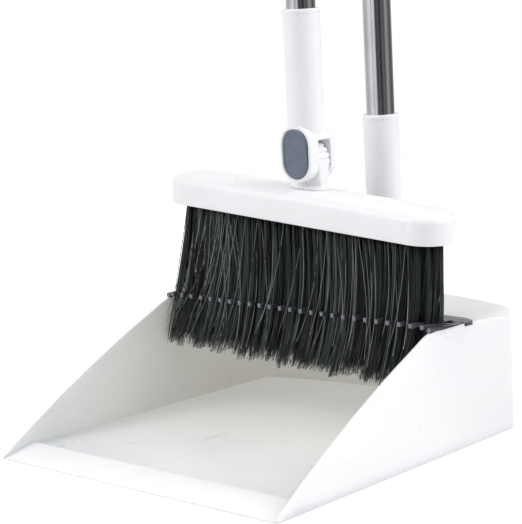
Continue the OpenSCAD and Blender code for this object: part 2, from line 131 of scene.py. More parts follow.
def make_stage():
    bm = bmesh.new()
    bmesh.ops.create_circle(bm, cap_ends=True, radius=FLOOR_RADIUS, segments=96)
    mesh = bpy.data.meshes.new("floor")
    bm.to_mesh(mesh)
    bm.free()
    floor = bpy.data.objects.new("floor", mesh)
    floor.location.z = -FLOOR_GAP
    bpy.context.scene.collection.objects.link(floor)
    material = bpy.data.materials.new("floor_paper")
    material.use_nodes = True
    tree = material.node_tree
    shader = tree.nodes["Principled BSDF"]
    shader.inputs["Base Color"].default_value = (0.72, 0.72, 0.73, 1)
    shader.inputs["Roughness"].default_value = 0.9
    # The paper is seen burnt out to white, and lights the set less than that
    seen = tree.nodes.new("ShaderNodeLightPath").outputs["Is Camera Ray"]
    glow = tree.nodes.new("ShaderNodeMapRange")
    glow.inputs["To Min"].default_value = PAPER_GLOW
    glow.inputs["To Max"].default_value = PAPER_GLOW_SEEN
    tree.links.new(seen, glow.inputs["Value"])
    shader.inputs["Emission Color"].default_value = (1, 1, 1, 1)
    tree.links.new(glow.outputs["Result"], shader.inputs["Emission Strength"])
    mesh.materials.append(material)


def make_light():
    world = bpy.data.worlds.new("studio")
    bpy.context.scene.world = world
    world.use_nodes = True
    tree = world.node_tree
    background = tree.nodes["Background"]
    ray = tree.nodes.new("ShaderNodeLightPath")
    around = around_camera(tree)
    tent = world_ramp(tree, around, TENT)
    room = world_ramp(tree, around, ROOM)
    mirrored = world_mix(tree, ray.outputs["Is Glossy Ray"], tent, room)
    seen = world_mix(tree, ray.outputs["Is Camera Ray"], mirrored, None)
    tree.links.new(seen, background.inputs["Color"])
    area_light("left", (-1.35, -2.0, 1.75), (0, 0, 0.12), (1.6, 1.8), 31)
    area_light("right", (2.2, 1.0, 1.75), (0, 0, 0.12), (1.6, 1.8), 46)
    area_light("front", (0.35, -0.85, 2.4), (0, -0.05, 0.02), (1.2, 1.2), 7)


def around_camera(tree):
    """The azimuth a ray leaves in: 0.5 towards the camera, 0 and 1 away from it."""
    place = tree.nodes.new("ShaderNodeTexCoord").outputs["Generated"]
    parts = []
    for axis in ((math.cos(CAMERA_AZIMUTH), math.sin(CAMERA_AZIMUTH), 0),
                 (math.sin(CAMERA_AZIMUTH), -math.cos(CAMERA_AZIMUTH), 0)):
        part = tree.nodes.new("ShaderNodeVectorMath")
        part.operation = "DOT_PRODUCT"
        part.inputs[1].default_value = axis
        tree.links.new(place, part.inputs[0])
        parts.append(part.outputs["Value"])
    angle = tree.nodes.new("ShaderNodeMath")
    angle.operation = "ARCTAN2"
    tree.links.new(parts[0], angle.inputs[0])
    tree.links.new(parts[1], angle.inputs[1])
    turns = tree.nodes.new("ShaderNodeMapRange")
    turns.inputs["From Min"].default_value = -math.pi
    turns.inputs["From Max"].default_value = math.pi
    tree.links.new(angle.outputs[0], turns.inputs["Value"])
    return turns.outputs["Result"]


def world_ramp(tree, around, stops):
    """Grey levels at angles round the set, from -180 to 180 degrees."""
    return color_ramp(tree, around, [((degrees + 180) / 360, [level] * 3) for degrees, level in stops])


def world_mix(tree, share, first, second):
    """The second colour, white when there is none, by the share of it."""
    node = tree.nodes.new("ShaderNodeMix")
    node.data_type = "RGBA"
    tree.links.new(share, node.inputs[0])
    tree.links.new(first, node.inputs[6])
    if second:
        tree.links.new(second, node.inputs[7])
    else:
        node.inputs[7].default_value = (1, 1, 1, 1)
    return node.outputs[2]


# ---------------------------------------------------------------- materials

def new_material(name):
    material = bpy.data.materials.new(name)
    material.use_nodes = True
    tree = material.node_tree
    return material, tree, tree.nodes["Principled BSDF"]


def object_place(tree):
    return tree.nodes.new("ShaderNodeTexCoord").outputs["Object"]


def attribute(tree, name):
    node = tree.nodes.new("ShaderNodeAttribute")
    node.attribute_name = name
    return node


def split_axes(tree, vector):
    node = tree.nodes.new("ShaderNodeSeparateXYZ")
    tree.links.new(vector, node.inputs[0])
    return node.outputs


def noise(tree, place, scale, detail=3, stretch=None):
    """Noise at so many cycles a metre, stretched along an axis when asked."""
    texture = tree.nodes.new("ShaderNodeTexNoise")
    texture.inputs["Scale"].default_value = scale
    texture.inputs["Detail"].default_value = detail
    if stretch:
        mapping = tree.nodes.new("ShaderNodeMapping")
        mapping.inputs["Scale"].default_value = stretch
        tree.links.new(place, mapping.inputs["Vector"])
        place = mapping.outputs["Vector"]
    tree.links.new(place, texture.inputs["Vector"])
    return texture.outputs["Fac"]


def spread(tree, value, low, high, start=0.3, end=0.7):
    """Maps the middle of a noise onto low to high."""
    node = tree.nodes.new("ShaderNodeMapRange")
    node.inputs["From Min"].default_value = start
    node.inputs["From Max"].default_value = end
    node.inputs["To Min"].default_value = low
    node.inputs["To Max"].default_value = high
    tree.links.new(value, node.inputs["Value"])
    return node.outputs["Result"]


def mix(tree, share, first, second):
    node = tree.nodes.new("ShaderNodeMix")
    node.data_type = "RGBA"
    for socket, value in ((node.inputs[0], share), (node.inputs[6], first), (node.inputs[7], second)):
        if isinstance(value, bpy.types.NodeSocket):
            tree.links.new(value, socket)
        elif isinstance(value, tuple):
            socket.default_value = (*value, 1)
        else:
            socket.default_value = value
    return node.outputs[2]


def math_node(tree, kind, first, second):
    node = tree.nodes.new("ShaderNodeMath")
    node.operation = kind
    for socket, value in zip(node.inputs, (first, second)):
        if isinstance(value, bpy.types.NodeSocket):
            tree.links.new(value, socket)
        else:
            socket.default_value = value
    return node.outputs[0]


def bump(tree, shader, height, strength, distance):
    node = tree.nodes.new("ShaderNodeBump")
    node.inputs["Strength"].default_value = strength
    node.inputs["Distance"].default_value = distance
    tree.links.new(height, node.inputs["Height"])
    tree.links.new(node.outputs["Normal"], shader.inputs["Normal"])


def color_ramp(tree, value, stops):
    """Colours between (position, colour) stops, the first at 0 and the last at 1."""
    ramp = tree.nodes.new("ShaderNodeValToRGB")
    elements = ramp.color_ramp.elements
    for element, (position, color) in zip(elements, (stops[0], stops[-1])):
        element.position = position
        element.color = (*color, 1)
    for position, color in stops[1:-1]:
        elements.new(position).color = (*color, 1)
    tree.links.new(value, ramp.inputs["Fac"])
    return ramp.outputs["Color"]


def sharp_edge_share(tree, low, high):
    """White on sharp outer edges, black elsewhere."""
    pointy = tree.nodes.new("ShaderNodeNewGeometry").outputs["Pointiness"]
    return spread(tree, pointy, 0, 1, low, high)


def moulded_plastic(name, color, dirt, roughness, grain):
    """Moulded plastic: faint clouding, fine orange peel, handling marks that change the gloss."""
    material, tree, shader = new_material(name)
    place = object_place(tree)
    cloud = spread(tree, noise(tree, place, 26), 0, 1)
    fine = noise(tree, place, grain, 2)
    marks = noise(tree, place, 60, 5, (1, 1, 0.35))
    speck = spread(tree, noise(tree, place, 420, 1), 0, 0.5, 0.72, 0.8)
    tinted = mix(tree, math_node(tree, "MULTIPLY", cloud, 0.5), color, dirt)
    tree.links.new(mix(tree, math_node(tree, "MULTIPLY", speck, 0.05), tinted, dirt),
                   shader.inputs["Base Color"])
    tree.links.new(spread(tree, marks, roughness - 0.06, roughness + 0.1), shader.inputs["Roughness"])
    shader.inputs["IOR"].default_value = 1.49
    bump(tree, shader, fine, 0.12, 0.0002)
    return material


FLOOR_GLOW = 0.24


def pan_plastic():
    """White moulded plastic; the pan's inside has painted shade darkening it towards its left end, turns
    warm beige towards the rear as dust and painted warm bounce light, and is scuffed along the sweeping
    direction.
    """
    material, tree, shader = new_material("pan_white")
    place = object_place(tree)
    axes = split_axes(tree, place)
    cloud = spread(tree, noise(tree, place, 18), 0, 1)
    scuffs = spread(tree, noise(tree, place, 300, 4, (1, 0.05, 1)), 0, 1, 0.58, 0.75)
    deep = spread(tree, axes["Y"], 0, 1, -110 * MM, 50 * MM)
    # Painted shade: the inside darkens towards its left end
    across = spread(tree, axes["X"], 0, 1, -120 * MM, 100 * MM)
    painted_shade_across = mix(tree, across, (0.65, 0.665, 0.68), (0.93, 0.935, 0.945))
    # Towards the rear the inside turns warm beige, partly dust and partly painted warm bounce light; real
    # scuffs go on top
    dust_and_painted_shade = mix(tree, deep, painted_shade_across, (0.88, 0.87, 0.82))
    dust_and_painted_shade = mix(tree, math_node(tree, "MULTIPLY", scuffs, 0.05), dust_and_painted_shade, (0.66, 0.65, 0.62))
    outer = mix(tree, math_node(tree, "MULTIPLY", cloud, 0.35), (0.90, 0.905, 0.925), (0.86, 0.865, 0.885))
    inside = attribute(tree, "inside").outputs["Fac"]
    tree.links.new(mix(tree, inside, outer, dust_and_painted_shade), shader.inputs["Base Color"])
    # The thin white walls let some light through, and the floor glows faintly towards the rear to stand for
    # the rest of it, a painted fill light
    shader.inputs["Subsurface Weight"].default_value = 0.5
    shader.inputs["Subsurface Radius"].default_value = (1.0, 0.98, 0.90)
    shader.inputs["Subsurface Scale"].default_value = 10 * MM
    glow = attribute(tree, "glow").outputs["Fac"]
    painted_floor_glow = math_node(tree, "MULTIPLY", glow, math_node(tree, "MULTIPLY", deep, FLOOR_GLOW))
    shader.inputs["Emission Color"].default_value = (1.0, 0.985, 0.94, 1)
    tree.links.new(painted_floor_glow, shader.inputs["Emission Strength"])
    marks = noise(tree, place, 45, 5, (1, 0.5, 1))
    tree.links.new(spread(tree, marks, 0.26, 0.42), shader.inputs["Roughness"])
    shader.inputs["IOR"].default_value = 1.49
    bump(tree, shader, noise(tree, place, 900, 2), 0.10, 0.0002)
    return material


# Where the comb's teeth end in front
TOOTH_TIP_Y = 19.5 * MM


def dark_plastic():
    """Dark blue-grey comb plastic, paler on its sharp edges, partly from wear and partly as a painted
    highlight, and with a painted highlight on the teeth's front ends.
    """
    material, tree, shader = new_material("comb_plastic")
    place = object_place(tree)
    cloud = spread(tree, noise(tree, place, 90), 0, 1)
    base = mix(tree, cloud, (0.015, 0.016, 0.024), (0.024, 0.026, 0.037))
    # Paler on sharp edges: partly wear, partly a painted highlight
    edge = math_node(tree, "MULTIPLY", sharp_edge_share(tree, 0.53, 0.62), 0.5)
    worn_and_highlit = mix(tree, edge, base, (0.30, 0.31, 0.35))
    # The teeth's front ends are painted pale, a painted highlight
    behind = split_axes(tree, place)["Y"]
    end = spread(tree, behind, 1, 0, TOOTH_TIP_Y + 0.3 * MM, TOOTH_TIP_Y + 1.0 * MM)
    tree.links.new(mix(tree, end, worn_and_highlit, (0.17, 0.175, 0.20)), shader.inputs["Base Color"])
    tree.links.new(spread(tree, noise(tree, place, 160, 4), 0.16, 0.30), shader.inputs["Roughness"])
    bump(tree, shader, noise(tree, place, 1400, 2), 0.15, 0.0001)
    return material


def chrome():
    """Polished tube with faint drawing lines and a few cloudy finger marks."""
    material, tree, shader = new_material("chrome")
    place = object_place(tree)
    lines = noise(tree, place, 1800, 2, (1, 1, 0.006))
    marks = spread(tree, noise(tree, place, 30, 5), 0, 1, 0.5, 0.75)
    tree.links.new(mix(tree, marks, (0.62, 0.62, 0.66), (0.55, 0.55, 0.59)), shader.inputs["Base Color"])
    gloss = math_node(tree, "MULTIPLY", marks, 0.08)
    tree.links.new(math_node(tree, "ADD", gloss, 0.07), shader.inputs["Roughness"])
    shader.inputs["Metallic"].default_value = 1
    bump(tree, shader, lines, 0.06, 0.0001)
    return material


def plated_steel():
    """Zinc-plated steel with dull streaks."""
    material, tree, shader = new_material("plated_steel")
    place = object_place(tree)
    streaks = noise(tree, place, 900, 3, (1, 0.1, 1))
    tree.links.new(mix(tree, spread(tree, streaks, 0, 1), (0.55, 0.55, 0.56), (0.42, 0.42, 0.44)),
                   shader.inputs["Base Color"])
    tree.links.new(spread(tree, streaks, 0.28, 0.5), shader.inputs["Roughness"])
    shader.inputs["Metallic"].default_value = 1
    bump(tree, shader, streaks, 0.1, 0.0001)
    return material


def slate_satin(name, color, other, roughness, grain):
    """Slate blue-grey plastic or rubber, clouded from one colour to the other and paler on its edges."""
    material, tree, shader = new_material(name)
    place = object_place(tree)
    cloud = spread(tree, noise(tree, place, 130, 4), 0, 1)
    edge = math_node(tree, "MULTIPLY", sharp_edge_share(tree, 0.53, 0.62), 0.3)
    tree.links.new(mix(tree, edge, mix(tree, cloud, color, other), (0.30, 0.33, 0.38)),
                   shader.inputs["Base Color"])
    tree.links.new(spread(tree, noise(tree, place, 200, 3), roughness - 0.06, roughness + 0.1),
                   shader.inputs["Roughness"])
    bump(tree, shader, noise(tree, place, grain, 2), 0.25, 0.00015)
    return material


def filament():
    """Bristle filament: black-green, some strands greyer, pale at the tips, partly split ends and partly
    painted light on the lit ends.
    """
    material, tree, shader = new_material("filament")
    strand = split_axes(tree, attribute(tree, "tone").outputs["Vector"])
    tone, along, gloss = strand["X"], strand["Y"], strand["Z"]
    stops = ((0.0, (0.008, 0.011, 0.011)), (0.45, (0.036, 0.045, 0.044)), (0.8, (0.115, 0.140, 0.134)),
             (1.0, (0.40, 0.43, 0.41)))
    base = color_ramp(tree, tone, stops)
    # Only some strands have a pale end: partly a frayed split end, partly painted light where the ends catch
    # the light
    frayed_and_lit = spread(tree, gloss, 0, 1, 0.5, 0.75)
    tip = math_node(tree, "MULTIPLY", frayed_and_lit, spread(tree, along, 0, 1, 0.96, 0.985))
    tree.links.new(mix(tree, tip, base, (0.90, 0.90, 0.82)), shader.inputs["Base Color"])
    tree.links.new(spread(tree, gloss, 0.28, 0.5, 0, 1), shader.inputs["Roughness"])
    place = object_place(tree)
    bump(tree, shader, noise(tree, place, 2500, 1), 0.1, 0.00005)
    return material


# ---------------------------------------------------------------- mesh helpers

def make_piece(name, bm, material, body, replaced=(), smooth_angle=38, lean=False):
    """A cleaned mesh as a piece of a body, which stands for the CAD nodes it replaces."""
    bmesh.ops.remove_doubles(bm, verts=bm.verts, dist=1e-6)
    bmesh.ops.recalc_face_normals(bm, faces=bm.faces)
    mesh = bpy.data.meshes.new(name)
    bm.to_mesh(mesh)
    bm.free()
    if lean:
        leaned(mesh)
    for polygon in mesh.polygons:
        polygon.use_smooth = True
    mesh.set_sharp_from_angle(angle=math.radians(smooth_angle))
    mesh.materials.append(material)
    piece = bpy.data.objects.new(name, mesh)
    bpy.context.scene.collection.objects.link(piece)
    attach(piece, body)
    if replaced:
        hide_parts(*replaced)
    return piece


def rounded(points, radius, steps=5):
    """An open outline with its inner corners rounded by small arcs."""
    out = [Vector(points[0])]
    for before, corner, after in zip(points, points[1:], points[2:]):
        corner, before, after = Vector(corner), Vector(before), Vector(after)
        to_before, to_after = before - corner, after - corner
        reach = min(radius, to_before.length * 0.45, to_after.length * 0.45)
        first = corner + to_before.normalized() * reach
        last = corner + to_after.normalized() * reach
        for i in range(steps + 1):
            t = i / steps
            out.append(first * (1 - t) ** 2 + corner * 2 * t * (1 - t) + last * t * t)
    return out + [Vector(points[-1])]


def lathe(profile, axis, segments=96):
    """Turns (radius, height) points round a vertical axis. Repeating the first point closes the outline."""
    bm = bmesh.new()
    rings = []
    for radius, height in profile:
        ring = []
        for i in range(segments):
            a = 2 * math.pi * i / segments
            x, y = axis.x + radius * math.cos(a), axis.y + radius * math.sin(a)
            ring.append(bm.verts.new((x, y, height)))
        rings.append(ring)
    for lower, upper in zip(rings, rings[1:]):
        for i in range(segments):
            j = (i + 1) % segments
            bm.faces.new((lower[i], lower[j], upper[j], upper[i]))
    return bm


def stadium(half, radius):
    """Outline with round ends: (u, v) points, with straight runs cut into short steps."""
    steps = 24
    points = []
    for side, start in ((1, -math.pi / 2), (-1, math.pi / 2)):
        for i in range(steps + 1):
            a = start + math.pi * i / steps
            points.append((side * half + radius * math.cos(a), radius * math.sin(a)))
        for i in range(1, steps):
            points.append((side * half * (1 - 2 * i / steps), side * radius))
    return points


def loft(rings):
    """A solid through rings of equally many points, closed by its first and last ring."""
    bm = bmesh.new()
    made = [[bm.verts.new(p) for p in ring] for ring in rings]
    for lower, upper in zip(made, made[1:]):
        count = len(lower)
        for i in range(count):
            j = (i + 1) % count
            bm.faces.new((lower[i], lower[j], upper[j], upper[i]))
    bm.faces.new(list(reversed(made[0])))
    bm.faces.new(made[-1])
    return bm


# Edges sharper than this are rounded
EASED_ANGLE = math.radians(32)


def eased(node, material, body, width, segments=3):
    """A copy of a CAD node with its sharp edges rounded, which stands for the node."""
    bm = bmesh.new()
    bm.from_mesh(nodes[node].data)
    bmesh.ops.remove_doubles(bm, verts=bm.verts, dist=2e-6)
    bmesh.ops.dissolve_limit(bm, angle_limit=math.radians(1.0), verts=bm.verts, edges=bm.edges)
    edges = [e for e in bm.edges if len(e.link_faces) == 2 and e.calc_face_angle() > EASED_ANGLE]
    bmesh.ops.bevel(bm, geom=edges, offset=width, offset_type="WIDTH", segments=segments, profile=0.5,
                    affect="EDGES", clamp_overlap=True, miter_outer="ARC")
    return make_piece(node + "_shape", bm, material, body, (node,), smooth_angle=50)


# ---------------------------------------------------------------- the pan

PAN_INNER_HALF = 131 * MM
PAN_FLOOR_UNDER = 4 * MM
PAN_FLOOR_OVER = 8 * MM


def make_pan(material):
    """The shell, with its inner faces marked for the material."""
    pan = eased("pan_shell", material, "pan", 0.7 * MM)
    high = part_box("pan_shell")[1]
    centre_x = middle("pan_shell").x
    inside, glow = [], []
    for face in pan.data.polygons:
        place, n = face.center, face.normal
        off_centre = place.x - centre_x
        within = PAN_FLOOR_UNDER < place.z < high.z - 2 * MM and abs(off_centre) < PAN_INNER_HALF
        side_wall = n.x * off_centre < 0 and abs(n.x) > 0.5
        rear_wall = n.y < -0.5 and place.y > 100 * MM and abs(place.x) < PAN_INNER_HALF - 3 * MM
        floor = n.z > 0.7 and place.z < PAN_FLOOR_OVER
        inside.append(1.0 if within and (side_wall or floor or rear_wall) else 0.0)
        glow.append(1.0 if within and floor else 0.0)
    for name, values in (("inside", inside), ("glow", glow)):
        pan.data.attributes.new(name, "FLOAT", "FACE").data.foreach_set("value", values)


# ---------------------------------------------------------------- the broom's head

HEAD_LENGTH = 258.5 * MM
HEAD_DEPTH = 42 * MM
HEAD_HEIGHT = 23.5 * MM
HEAD_BELOW_PIVOT = 20 * MM
HEAD_CROWN = 2.2 * MM
HEAD_RIM = 2.6 * MM
HEAD_DRAFT = 0.4 * MM
SHOULDER_HEIGHT = 9 * MM
HEAD_TOP = pivot.z - HEAD_BELOW_PIVOT
HEAD_BOTTOM = HEAD_TOP - HEAD_HEIGHT


def head_ring(half, inset, height):
    """One ring of the head's bar, lower towards its ends the nearer it is to the top."""
    radius = HEAD_DEPTH / 2 - inset
    share = max(0.0, (height - (HEAD_TOP - SHOULDER_HEIGHT)) / SHOULDER_HEIGHT)
    ring = []
    for u, v in stadium(half, max(radius, 1e-5)):
        fall = HEAD_CROWN * share * abs(u / (HEAD_LENGTH / 2)) ** 2.2
        ring.append((pivot.x + u, pivot.y + v, height - fall))
    return ring


def make_head(material):
    """The head's cover: an open rim below, upright sides, round shoulders and a crowned top."""
    half = (HEAD_LENGTH - HEAD_DEPTH) / 2
    shoulder = HEAD_TOP - SHOULDER_HEIGHT
    # (inset, height) points from inside the rim, round its edge and up to the shoulder
    side = [(HEAD_RIM, HEAD_BOTTOM + 9 * MM), (HEAD_RIM, HEAD_BOTTOM), (0, HEAD_BOTTOM),
            (HEAD_DRAFT, shoulder)]
    outline = rounded(side, 1.0 * MM, 4)
    quarter = []
    for i in range(1, 10):
        a = math.pi / 2 * i / 9
        inset = HEAD_DRAFT + 7.5 * MM * (1 - math.cos(a))
        quarter.append(Vector((inset, shoulder + 8.2 * MM * math.sin(a))))
    crown = [Vector((10 * MM, HEAD_TOP - 0.45 * MM)), Vector((14 * MM, HEAD_TOP - 0.2 * MM)),
             Vector((18 * MM, HEAD_TOP - 0.03 * MM)), Vector((HEAD_DEPTH / 2, HEAD_TOP))]
    bm = loft([head_ring(half, p.x, p.y) for p in outline + quarter + crown])
    return make_piece("head_cover_shape", bm, material, "head", ("head_cover",),
                      smooth_angle=50, lean=True)


# ---------------------------------------------------------------- bristles

BRISTLE_ROWS = 5
BRISTLE_COLUMNS = 34
STRANDS_PER_TUFT = 30
LOOSE_STRANDS = 70
STRAND_RADIUS = 0.32 * MM
STRAND_STEPS = 8
STRAND_SIDES = 3
TOOTH_PITCH = 10 * MM
TOOTH_COUNT = 25
TUFT_RADIUS = 2 * MM
# The block of tufts: half its length and depth, its middle along X, and where the strands start
ROOT_HALF_X = 114.5 * MM
ROOT_HALF_Y = 13 * MM
ROOT_X = pivot.x + 2.2 * MM
ROOT_Z = HEAD_BOTTOM + 1.5 * MM
# How far the tips reach: the left ones flare, the right ones stand upright, and most lean to the front
TIP_LEFT = 123.2 * MM
TIP_RIGHT = 111.5 * MM
TIP_FRONT = pivot.y - 34 * MM
TIP_REAR = pivot.y + 9 * MM
FOOT_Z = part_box("bristles")[0].z
COMB_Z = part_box("comb")[1].z - 1.5 * MM
# How strands spread below the head, and how far above and below the comb its teeth part them
SPLAY = 1.1
SWEEP = 2.9
PARTED_ABOVE = 24 * MM
PARTED_BELOW = 40 * MM


def strand_path(root, tip, clear, bend, sweep=SWEEP):
    """Points from the head to the tip, splayed on the way down and parted by the nearest tooth."""
    path = []
    half_teeth = TOOTH_COUNT // 2
    tooth = max(-half_teeth, min(half_teeth, round(tip.x / TOOTH_PITCH))) * TOOTH_PITCH
    at_comb = root.x + (tip.x - root.x) * ((root.z - COMB_Z) / (root.z - tip.z)) ** SPLAY
    off = at_comb - tooth
    push = (clear if off >= 0 else -clear) - off if abs(off) < clear else 0.0
    for i in range(STRAND_STEPS + 1):
        t = i / STRAND_STEPS
        p = root.lerp(tip, t)
        p.x = root.x + (tip.x - root.x) * t ** SPLAY + bend.x * math.sin(math.pi * t)
        p.y = root.y + (tip.y - root.y) * t ** sweep + bend.y * math.sin(math.pi * t)
        away = (p.z - COMB_Z) / (PARTED_ABOVE if p.z > COMB_Z else PARTED_BELOW)
        p.x += push * math.exp(-away * away)
        path.append(p)
    return path


def add_strand(store, path, radius, tone, gloss):
    """A three-sided filament along the path, ending in a finer tip."""
    verts, faces, marks = store
    sides = STRAND_SIDES
    start = len(verts)
    last = len(path) - 1
    for i, p in enumerate(path):
        t = i / last
        r = radius * (1 - 0.12 * t) if i < last else radius * 0.55
        for k in range(sides):
            a = 2 * math.pi * k / sides + tone * 5
            verts.append((p.x + r * math.cos(a), p.y + r * math.sin(a), p.z))
            marks.append((tone, t, gloss))
    for i in range(last):
        for k in range(sides):
            a, b = start + sides * i + k, start + sides * i + (k + 1) % sides
            faces.append((a, b, b + sides, a + sides))
    end = start + sides * last
    faces.append((start, start + 2, start + 1))
    faces.append((end, end + 1, end + 2))


def strands_piece(name, store, material, replaced):
    """One block of filaments, with each point's tone, share of the way along and gloss for the material."""
    verts, faces, marks = store
    mesh = bpy.data.meshes.new(name)
    mesh.from_pydata(verts, [], faces)
    tone = mesh.attributes.new("tone", "FLOAT_VECTOR", "POINT")
    tone.data.foreach_set("vector", [value for mark in marks for value in mark])
    for polygon in mesh.polygons:
        polygon.use_smooth = True
    mesh.materials.append(material)
    piece = bpy.data.objects.new(name, mesh)
    bpy.context.scene.collection.objects.link(piece)
    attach(piece, "head")
    if replaced:
        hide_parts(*replaced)


def lean_point(p):
    """Where a point of the upright head lies when the head leans."""
    turn = Matrix.Rotation(HEAD_LEAN, 3, "Y")
    return pivot + turn @ (p - pivot)


def tip_height(x):
    """The ends follow the parked head's lean, so they hang higher on the left."""
    return max(FOOT_Z + 0.2 * MM, FOOT_Z + 1.6 * MM - 0.042 * x)


def add_tuft(rng, store, u, v, reach):
    """One hole's strands; u and v run from -1 to 1 along and across the head."""
    tuft = Vector((rng.gauss(0, 2.1), rng.gauss(0, 1.6), rng.gauss(0, 2.2))) * MM
    tuft_tone = rng.random()
    # Nothing holds the left end's tufts back, so they flare from the root on
    sweep = SWEEP - 1.7 * max(0.0, (-u - 0.8) / 0.2)
    tip_reach = TIP_LEFT if u < 0 else TIP_RIGHT
    for _ in range(STRANDS_PER_TUFT):
        a, d = rng.uniform(0, 2 * math.pi), math.sqrt(rng.random()) * TUFT_RADIUS
        root = lean_point(Vector((ROOT_X + u * reach + d * math.cos(a),
                                  pivot.y + v * ROOT_HALF_Y + d * math.sin(a), ROOT_Z)))
        x = u * tip_reach * reach / ROOT_HALF_X
        x += tuft.x + 1.15 * d * math.cos(a) + rng.gauss(0, 1.1) * MM
        y = (TIP_FRONT + TIP_REAR) / 2 + v * (TIP_REAR - TIP_FRONT) * 0.46
        y += tuft.y + 1.5 * d * math.sin(a) + rng.gauss(0, 1.8) * MM
        x = max(-TIP_LEFT, min(TIP_RIGHT + rng.uniform(-1.2, 0) * MM, x))
        y = max(TIP_FRONT - 1.5 * MM, min(TIP_REAR, y))
        z = max(FOOT_Z, tip_height(x) + tuft.z + rng.random() ** 4 * 5 * MM)
        bend = Vector((rng.gauss(0, 0.7), rng.gauss(0, 0.6), 0)) * MM
        clear = rng.uniform(1.75, 2.8) * MM
        path = strand_path(root, Vector((x, y, z)), clear, bend, sweep)
        tone = 0.42 * tuft_tone ** 1.5 + 0.36 * rng.random() ** 1.8
        if rng.random() < 0.09:
            tone += 0.36
        radius = STRAND_RADIUS * rng.uniform(0.75, 1.3)
        add_strand(store, path, radius, min(tone, 0.98), rng.random())


def add_loose_strands(rng, store):
    """Pale strands that lie across the others, most of them at the left end."""
    for i in range(LOOSE_STRANDS):
        left = i % 2 == 0
        u = rng.uniform(-0.95, -0.45) if left else rng.uniform(-0.95, 0.98)
        slant = -rng.uniform(10, 46) * MM if left else rng.gauss(0, 11) * MM
        root = lean_point(Vector((pivot.x + u * ROOT_HALF_X,
                                  pivot.y - ROOT_HALF_Y * rng.uniform(0.9, 1.15), ROOT_Z)))
        x = max(-TIP_LEFT, min(TIP_LEFT - 4 * MM, root.x + slant))
        tip = Vector((x, TIP_FRONT + rng.uniform(-1, 5) * MM, FOOT_Z + rng.uniform(2, 34) * MM))
        bend = Vector((rng.gauss(0, 2.2), -rng.uniform(0, 2.0), 0)) * MM
        path = strand_path(root, tip, 1.9 * MM, bend)
        add_strand(store, path, STRAND_RADIUS * 0.85, rng.uniform(0.93, 1.0), rng.random())


def make_bristles(material):
    """Rows of tufts as three pieces, front to rear."""
    rng = random.Random(7)
    stores = [([], [], []) for _ in range(3)]
    for row in range(BRISTLE_ROWS):
        v = -1 + 2 * row / (BRISTLE_ROWS - 1)
        # The end tufts stand back, because the head's ends are round
        reach = ROOT_HALF_X - (1 - math.sqrt(1 - (0.85 * v) ** 2)) * 12 * MM
        columns = BRISTLE_COLUMNS - row % 2
        store = stores[0] if v < -0.3 else stores[1] if v < 0.3 else stores[2]
        for column in range(columns):
            add_tuft(rng, store, -1 + 2 * column / (columns - 1), v, reach)
    add_loose_strands(rng, stores[0])
    strands_piece("bristles_front", stores[0], material, ("bristles",))
    strands_piece("bristles_middle", stores[1], material, ())
    strands_piece("bristles_rear", stores[2], material, ())


# ---------------------------------------------------------------- handles

TUBE_WALL = 0.8 * MM
SLEEVE_RADIUS = 13.3 * MM
SLEEVE_BORE = 10.55 * MM
COLLAR_OUT = 0.35 * MM
GRIP_RINGS = 9
GRIP_END = 20 * MM


def plain_tube(node, material, body, axis):
    """An open tube with eased ends."""
    low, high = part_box(node)
    outer = (high.x - low.x) / 2
    inner = outer - TUBE_WALL
    edge = 0.25 * MM
    profile = [(inner, low.z), (outer - edge, low.z), (outer, low.z + edge), (outer, high.z - edge),
               (outer - edge, high.z), (inner, high.z), (inner, low.z)]
    return make_piece(node + "_shape", lathe(profile, axis, 128), material, body, (node,))


def collar(top, depth):
    """The upper end of a sleeve as (radius, height) points: the rolled collar and the tube's bore."""
    out = SLEEVE_RADIUS + COLLAR_OUT
    return [(SLEEVE_RADIUS, top - 3.4 * MM), (out, top - 3.0 * MM), (out, top), (SLEEVE_BORE, top),
            (SLEEVE_BORE, top - depth)]


def make_socket(material):
    """The pan's socket: a spigot in the hood, a foot on it, a faintly tapered sleeve and a rolled collar."""
    low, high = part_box("pan_socket")
    spigot, foot = 9 * MM, 14.6 * MM
    base = low.z + 12 * MM
    profile = [(spigot, low.z), (spigot, base), (foot, base), (foot, base + 3.4 * MM),
               (SLEEVE_RADIUS - COLLAR_OUT, base + 5 * MM)] + collar(high.z, 19 * MM)
    return make_piece("pan_socket_shape", lathe(rounded(profile, 0.9 * MM), HANDLE_AXIS), material, "pan",
                      ("pan_socket",))


def make_grip(node, material, body, axis):
    """A soft sleeve with plain ends and swollen rings between fine grooves."""
    low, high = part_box(node)
    swell = (high.x - low.x) / 2
    end, groove = swell - 0.5 * MM, swell - 1.1 * MM
    mouth = swell - 1.8 * MM
    rise = (high.z - low.z - 2 * GRIP_END) / GRIP_RINGS
    points = [(SLEEVE_BORE, low.z), (mouth, low.z), (end, low.z + 1.6 * MM),
              (end, low.z + GRIP_END - 1 * MM)]
    for i in range(GRIP_RINGS):
        start = low.z + GRIP_END + rise * i
        points += [(groove, start + rise * 0.04), (swell, start + rise * 0.2), (swell, start + rise * 0.8),
                   (groove, start + rise * 0.96)]
    points += [(end, high.z - GRIP_END + 1 * MM), (end, high.z - 1.6 * MM), (mouth, high.z),
               (SLEEVE_BORE, high.z)]
    bm = lathe(rounded(points, 1.6 * MM, 4), axis)
    return make_piece(node + "_shape", bm, material, body, (node,), smooth_angle=60)


# ---------------------------------------------------------------- swivel and button

BUTTON_ABOVE_PIVOT = 6 * MM
BUTTON_WIDTH = 23.4 * MM
BUTTON_HEIGHT = 36.4 * MM
CAP_THICKNESS = 4 * MM
STEM_RADIUS = 7 * MM
STEM_BORE = 3.9 * MM
STEM_BORE_END = pivot.y - 11.5 * MM
PLATE_CENTRE = pivot.z + BUTTON_ABOVE_PIVOT


